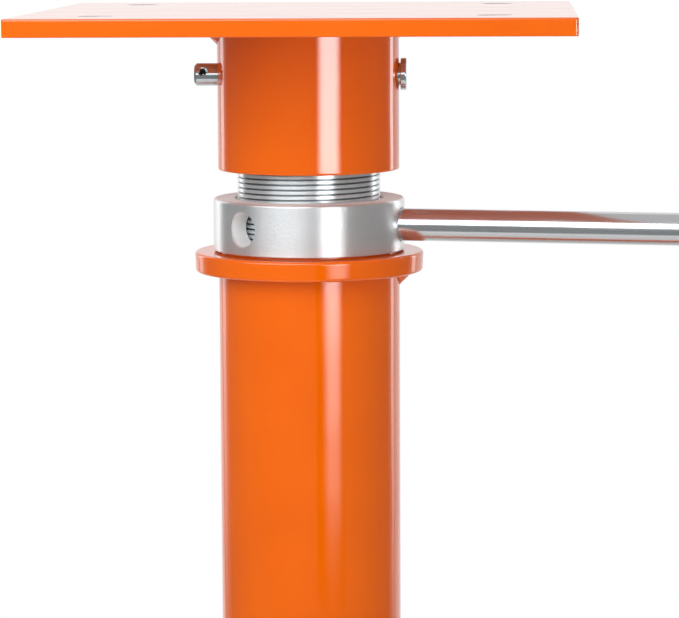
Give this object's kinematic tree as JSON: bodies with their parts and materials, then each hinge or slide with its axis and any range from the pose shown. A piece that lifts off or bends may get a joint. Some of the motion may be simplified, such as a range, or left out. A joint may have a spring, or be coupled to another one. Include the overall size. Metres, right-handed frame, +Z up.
{
  "type": "adjustable jacking post",
  "caption": "Adjustable jacking post: a tube post with a jack screw, a round nut turned by a loose bar, a pinned head plate and a bolt-down base plate.",
  "frame": {"origin": "middle of the base plate's underside, on the ground", "axes": "+Z up along the screw; X along the clevis pin, with its head at +X; Y across"},
  "size_m": [0.394, 0.185, 0.5895],
  "materials": {
    "orange_paint": "gloss",
    "satin_zinc": "satin zinc plate",
    "bright_zinc": "bright zinc plate",
    "bright_bar": "polished"
  },
  "bodies": {
    "post": {"base_plate": "orange_paint", "base_weld": "orange_paint", "post_tube": "orange_paint", "tube_collar": "orange_paint", "collar_weld": "orange_paint"},
    "nut": {"jack_nut": "satin_zinc", "tommy_bar": "bright_bar"},
    "head": {"jack_screw": "bright_zinc", "head_sleeve": "orange_paint", "head_weld": "orange_paint", "head_plate": "orange_paint"},
    "pin": {"clevis_pin": "bright_zinc"}
  },
  "joints": [
    {"name": "nut_turn", "type": "hinge", "parent": "post", "child": "nut", "pos_m": [0, 0, 0.515], "axis": [0, 0, -1], "range_deg": [-1800, 41040]},
    {"name": "screw_lift", "type": "slide", "parent": "post", "child": "head", "axis": [0, 0, 1], "range_m": [-0.0088, 0.1996]},
    {"name": "pin_pull", "type": "slide", "parent": "head", "child": "pin", "axis": [1, 0, 0], "range_m": [0, 0.08]}
  ],
  "couplings": [
    {"joint": "screw_lift", "follows": "nut_turn", "m_per_rad": 0.00027852}
  ]
}
